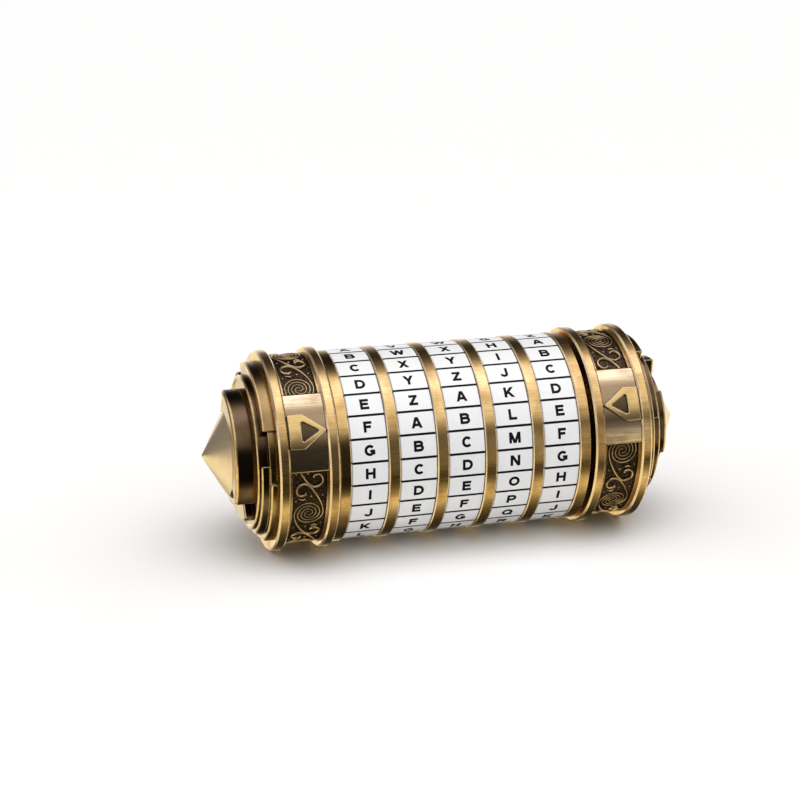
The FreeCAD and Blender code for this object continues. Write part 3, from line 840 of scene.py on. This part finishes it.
def studio_floor():
    """A wide sheet of pale paper."""
    m = Material("floor_paper")
    fibre = m.noise(900.0, 3.0, 0.6)
    base = m.mix(fibre, colour(0.93, 0.93, 0.93), colour(0.955, 0.955, 0.955))
    paper = m.finish(Base_Color=base, Roughness=0.8, Normal=m.bump(fibre, 0.03, 0.05))
    work = bmesh.new()
    bmesh.ops.create_grid(work, x_segments=8, y_segments=8, size=FLOOR_SIZE / 2)
    mesh = bpy.data.meshes.new("floor")
    work.to_mesh(mesh)
    work.free()
    mesh.materials.append(paper)
    floor = bpy.data.objects.new("floor", mesh)
    floor.location.z = cad_low.z
    floor.visible_glossy = False
    bpy.context.scene.collection.objects.link(floor)


# Brightness of the studio round the axis, against the angle up from the front horizon: a dark room, a
# strip low in front, a wide soft box overhead and white paper behind.
STUDIO = (
    (-180, 1.20), (-160, 1.10), (-140, 0.22), (-121, 0.05), (-106, 0.07), (-91, 0.16), (-75, 0.45),
    (-60, 0.85), (-45, 0.25), (-30, 0.03), (-14, 0.03), (1, 0.035), (14, 0.05), (24, 0.25), (34, 0.80),
    (47, 0.98), (62, 1.00), (78, 1.62), (93, 1.45), (108, 0.60), (123, 0.10), (139, 0.03), (152, 0.07),
    (164, 0.35), (180, 1.10),
)
STUDIO_PEAK = 2.0
SIDE_WINDOW = 0.9  # brightness of the soft window at the front right
END_PAPER = 0.95  # brightness past either end of the object, low down and overhead
END_ROOM = 0.25  # and at the height of the object
END_CARD = 0.95  # brightness of the white card beside either front corner
BACK_SCREEN = 0.22  # brightness of the dark screen at the back left
LOW_LIGHT = colour(1.0, 0.93, 0.76)  # colour of what the brass reflects from below the horizon
HIGH_LIGHT = colour(0.98, 0.985, 1.06)  # from above it
LAMP_LIGHT = colour(0.98, 1.0, 1.24)  # and from the brightest part of the soft box
MATT_LIGHT = colour(1.0, 0.985, 0.92)  # what reaches matt surfaces, which evens those out
SOFT_SIDE, SOFT_TOP = 0.79, 1.55  # how much of the light reaches matt surfaces, level and from overhead

# Soft edges of those papers and screens, in degrees across the front and above the horizon, or in shares
# of the direction along an axis. Four numbers: start, full, last full, end. Two: start, full.
SIDE_WINDOW_ACROSS, SIDE_WINDOW_RISE = (16.0, 23.0, 42.0, 55.0), (-28.0, -20.0, 8.0, 18.0)
CARD_Y, CARD_Z = (-0.42, -0.3, -0.06, 0.08), (-0.3, -0.1, 0.38, 0.5)
LEFT_END_X, RIGHT_END_X = (-0.3, -0.46), (0.5, 0.72)
LOW_PAPER_Z, HIGH_PAPER_Z = (-0.06, -0.22), (0.45, 0.62)
SCREEN_X, SCREEN_Y, SCREEN_RISE = (-0.26, -0.34), (0.6, 0.8), (-8.0, -3.0)
HORIZON_Z, LAMP_Z, LAMP_LEVEL = (-0.3, 0.15), (0.1, 0.4), (0.9, 1.5)


def studio_light():
    """The studio, drawn in the sky; the camera itself sees white."""
    world = bpy.data.worlds.new("studio")
    world.use_nodes = True
    bpy.context.scene.world = world
    sky = Nodes(world.node_tree)
    x, y, z = sky.split(sky.node("TexCoord", output="Generated"))
    front = sky.math("MULTIPLY", y, -1.0)
    turn = sky.math("ARCTAN2", z, front)
    sideways = sky.math("MULTIPLY", sky.math("ARCTAN2", x, front), 180 / math.pi)
    rise = sky.math("MULTIPLY", sky.math("ARCSINE", z), 180 / math.pi)

    curve = sky.tree.nodes.new("ShaderNodeFloatCurve")
    points = curve.mapping.curves[0].points
    for angle, level in STUDIO[1:-1]:
        points.new(angle / 360 + 0.5, level / STUDIO_PEAK)
    points[0].location = (0, STUDIO[0][1] / STUDIO_PEAK)
    points[len(points) - 1].location = (1, STUDIO[-1][1] / STUDIO_PEAK)
    curve.mapping.update()
    sky.tree.links.new(sky.math("MULTIPLY_ADD", turn, 1 / math.tau, 0.5), curve.inputs["Value"])
    level = sky.math("MULTIPLY", curve.outputs[0], STUDIO_PEAK)
    window = sky.band(sideways, *SIDE_WINDOW_ACROSS)
    window = sky.math("MULTIPLY", window, sky.band(rise, *SIDE_WINDOW_RISE))
    level = sky.math("MAXIMUM", level, sky.math("MULTIPLY", window, SIDE_WINDOW))

    ends = sky.math("MAXIMUM", sky.step(x, *LEFT_END_X), sky.step(x, *RIGHT_END_X))
    paper = sky.math("MAXIMUM", sky.step(z, *LOW_PAPER_Z), sky.step(z, *HIGH_PAPER_Z))
    card = sky.math("MULTIPLY", sky.band(y, *CARD_Y), sky.band(z, *CARD_Z))
    end_level = sky.ramp(paper, 0.0, 1.0, END_ROOM, END_PAPER)
    end_level = sky.math("MAXIMUM", end_level, sky.math("MULTIPLY", card, END_CARD))
    strength = sky.node("Mix", {0: ends, 2: level, 3: end_level})
    screen = sky.math("MULTIPLY", sky.step(x, *SCREEN_X), sky.step(y, *SCREEN_Y))
    screen = sky.math("MULTIPLY", screen, sky.step(rise, *SCREEN_RISE))
    strength = sky.node("Mix", {0: screen, 2: strength, 3: BACK_SCREEN})

    tint = sky.mix(sky.step(z, *HORIZON_Z), LOW_LIGHT, HIGH_LIGHT)
    lamp = sky.math("MULTIPLY", sky.step(level, *LAMP_LEVEL), sky.step(z, *LAMP_Z))
    tint = sky.mix(lamp, tint, LAMP_LIGHT)
    mirrored = sky.node("Background", {"Color": tint, "Strength": strength})
    soft = sky.math("MULTIPLY", strength, sky.ramp(z, 0.0, 1.0, SOFT_SIDE, SOFT_TOP))
    matt = sky.node("Background", {"Color": MATT_LIGHT, "Strength": soft})
    pale = sky.node("Background", {"Color": colour(1, 1, 1), "Strength": 1.0})
    matt_ray = sky.node("LightPath", output="Is Diffuse Ray")
    camera_ray = sky.node("LightPath", output="Is Camera Ray")
    light = sky.node("MixShader", {0: matt_ray, 1: mirrored, 2: matt})
    seen = sky.node("MixShader", {0: camera_ray, 1: light, 2: pale})
    sky.node("OutputWorld", {"Surface": seen})


dress_cad()
letter_dials()
for side in SIDES:
    for level in PANEL_ENDS:
        relief_vines(side, level)
        relief_ground(side, level)
studio_floor()
studio_light()
studio_camera()
bpy.context.scene.view_settings.view_transform = "Standard"
bpy.context.scene.view_settings.look = "Medium High Contrast"
